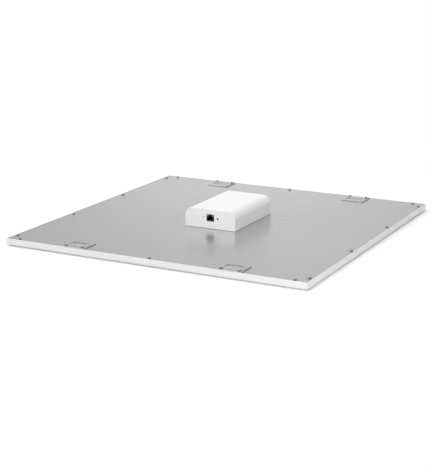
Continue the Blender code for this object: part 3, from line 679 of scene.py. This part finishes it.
def mouth_outline(x, foot):
    """The stepped mouth; its upper steps guide the plug's latch."""
    right = [
        (MOUTH_HALF, 0, 0.3 * MM),
        (MOUTH_HALF, MOUTH_HEIGHT, 0.3 * MM),
        (SHOULDER_HALF, MOUTH_HEIGHT, 0.2 * MM),
        (SHOULDER_HALF, SHOULDER_HEIGHT, 0.2 * MM),
        (LATCH_HALF, SHOULDER_HEIGHT, 0.2 * MM),
        (LATCH_HALF, LATCH_HEIGHT, 0.2 * MM),
    ]
    left = [(-half, height, radius) for half, height, radius in reversed(right)]
    return filleted([(x + across_x, foot + up, radius) for across_x, up, radius in right + left], 4)


def build_jack():
    """Black jack with a stepped mouth and two lamp lenses at its upper corners."""
    low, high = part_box("network_jack")
    x, front, foot = (low.x + high.x) / 2, low.y, low.z + MOUTH_FOOT
    block = rectangle((low.x, low.z), (high.x, high.z), 0.35 * MM)
    body = forwards(block, high.y, high.y - front, 0.2 * MM)
    tools = [forwards(mouth_outline(x, foot), front + MOUTH_DEPTH, MOUTH_DEPTH + 1 * MM)]
    for side, name in ((-1, "left"), (1, "right")):
        left, right = sorted((x + side * LENS_INNER, x + side * LENS_OUTER))
        lower, upper = foot + LENS_FOOT, high.z - LENS_MARGIN
        pocket = rectangle((left, lower), (right, upper), 0.2 * MM, 3)
        tools.append(forwards(pocket, front + LENS_POCKET, LENS_POCKET + 0.3 * MM))
        face = rectangle(
            (left + LENS_GAP, lower + LENS_GAP), (right - LENS_GAP, upper - LENS_GAP), 0.2 * MM, 3
        )
        lens = forwards(face, front + 1.1 * MM, LENS_THICKNESS, 0.12 * MM)
        piece(f"jack_lamp_lens_{name}", lens, "light_pipe", finish="lens")
    piece("network_jack_housing", combine(body, tools), "jack", ["network_jack"])


def build_contacts():
    """Eight gold wires that slope forwards and down from a black insert, deep in the mouth."""
    low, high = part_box("network_jack")
    x, foot = (low.x + high.x) / 2, low.z + MOUTH_FOOT
    rear = low.y + MOUTH_DEPTH - 0.3 * MM
    block = rectangle((x - 5.4 * MM, foot + 0.3 * MM), (x + 5.4 * MM, foot + 5.5 * MM), 0.2 * MM)
    insert = forwards(block, rear, 2 * MM, 0.1 * MM)
    pitch, wire_radius = 1.02 * MM, 0.22 * MM
    # Distances in front of the insert's rear face, and heights above the mouth's lower edge.
    slope = ((1.5, 2.1), (4, 1.8), (7, 1.15), (8.4, 0.8), (9, 0.6))
    wires = []
    for index in range(8):
        wire_x = x + (index - 3.5) * pitch
        path = [(wire_x, rear - ahead * MM, foot + up * MM) for ahead, up in slope]
        wires.append(tube(path, wire_radius))
    contacts = joined([insert, *wires])
    for key in ("jack", "contacts"):
        contacts.materials.append(MATERIALS[key])
    insert_faces = len(insert.polygons)
    for polygon in contacts.polygons:
        polygon.material_index = 0 if polygon.index < insert_faces else 1
    piece("jack_contacts_gold", contacts, "contacts", ["jack_contacts"])


# Stage -------------------------------------------------------------------------------------

HORIZON, OVERHEAD = 0.13, 0.44  # brightness
DOME_TOP = 0.7  # sine of the elevation from where it is as bright as overhead
# Degrees left of +Y, elevation, focus and strength: two low ones behind, and a high one in front.
GLOWS = ((24.8, 1, 26.0, 1.20), (-30, 4, 22.0, 0.45), (148, 62, 1.3, 1.34))
FLOOR_SIZE, FLOOR_SHADE = 20, 0.915
CAMERA_AZIMUTH, CAMERA_ELEVATION, CAMERA_ROLL = 27.809, 15.198, -0.21  # right of -Y, up, degrees
CAMERA_DISTANCE, FOCAL_LENGTH, SENSOR_WIDTH = 2.314, 92.63, 36
AIM_LEFT, AIM_DOWN = 0.0229, 0.0278  # from the back plate's middle to where the camera aims


def build_camera():
    azimuth, elevation = math.radians(CAMERA_AZIMUTH), math.radians(CAMERA_ELEVATION)
    level = math.cos(elevation)
    back = Vector((math.sin(azimuth) * level, -math.cos(azimuth) * level, math.sin(elevation)))
    right = Vector((math.cos(azimuth), math.sin(azimuth), 0))
    up = back.cross(right)
    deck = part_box("back_plate")[1].z
    aim = Vector((0, 0, deck)) - right * AIM_LEFT - up * AIM_DOWN
    data = bpy.data.cameras.new("camera")
    data.lens = FOCAL_LENGTH
    data.sensor_width = SENSOR_WIDTH
    camera = bpy.data.objects.new("camera", data)
    camera.location = aim + back * CAMERA_DISTANCE
    camera.rotation_mode = "QUATERNION"
    roll = Quaternion((0, 0, 1), math.radians(CAMERA_ROLL))
    camera.rotation_quaternion = back.to_track_quat("Z", "Y") @ roll
    bpy.context.scene.collection.objects.link(camera)
    bpy.context.scene.camera = camera


def build_stage():
    shape = bmesh.new()
    level = Matrix.Translation((0, 0, CAD_BOX[0].z))
    bmesh.ops.create_grid(shape, x_segments=1, y_segments=1, size=FLOOR_SIZE, matrix=level)
    mesh = bpy.data.meshes.new("floor")
    shape.to_mesh(mesh)
    shape.free()
    floor = bpy.data.objects.new("floor", mesh)
    bpy.context.scene.collection.objects.link(floor)
    mesh.materials.append(Finish("floor_pale", (FLOOR_SHADE,) * 3, 0.9).material)


def build_world():
    """Soft studio surroundings, dim at the horizon and brighter overhead, with broad glows."""
    world = bpy.data.worlds.new("studio")
    bpy.context.scene.world = world
    world.use_nodes = True
    tree = world.node_tree
    directions = tree.nodes.new("ShaderNodeTexCoord").outputs["Generated"]

    def maths(operation, first, second):
        node = tree.nodes.new("ShaderNodeMath")
        node.operation = operation
        tree.links.new(first, node.inputs[0])
        if isinstance(second, float):
            node.inputs[1].default_value = second
        else:
            tree.links.new(second, node.inputs[1])
        return node.outputs["Value"]

    split = tree.nodes.new("ShaderNodeSeparateXYZ")
    tree.links.new(directions, split.inputs["Vector"])
    light = map_range(tree, split.outputs["Z"], 0.0, DOME_TOP, HORIZON, OVERHEAD)
    for azimuth, elevation, focus, strength in GLOWS:
        a, e = math.radians(azimuth), math.radians(elevation)
        facing = tree.nodes.new("ShaderNodeVectorMath")
        facing.operation = "DOT_PRODUCT"
        facing.inputs[1].default_value = (
            -math.sin(a) * math.cos(e),
            math.cos(a) * math.cos(e),
            math.sin(e),
        )
        tree.links.new(directions, facing.inputs[0])
        glow = maths("POWER", maths("MAXIMUM", facing.outputs["Value"], 0.0), focus)
        light = maths("ADD", light, maths("MULTIPLY", glow, strength))
    tree.links.new(light, tree.nodes["Background"].inputs["Color"])


def add_softbox(name, power, size, place, aim):
    """A round diffuse light that shows in no reflection."""
    data = bpy.data.lights.new(name, "AREA")
    data.energy = power
    data.shape = "DISK"
    data.size = size
    light = bpy.data.objects.new(name, data)
    light.location = place
    light.visible_camera = light.visible_glossy = False
    light.rotation_mode = "QUATERNION"
    light.rotation_quaternion = (Vector(place) - Vector(aim)).to_track_quat("Z", "Y")
    bpy.context.scene.collection.objects.link(light)


bpy.context.scene.view_settings.view_transform = "Standard"
build_camera()
build_stage()
build_world()
add_softbox("near_right", power=0.8, size=0.4, place=(0.72, -0.56, 0.2), aim=(0.3, -0.3, 0))
finish_cad_nodes()
build_rails()
build_screws()
build_clips()
build_cover()
build_jack()
build_contacts()
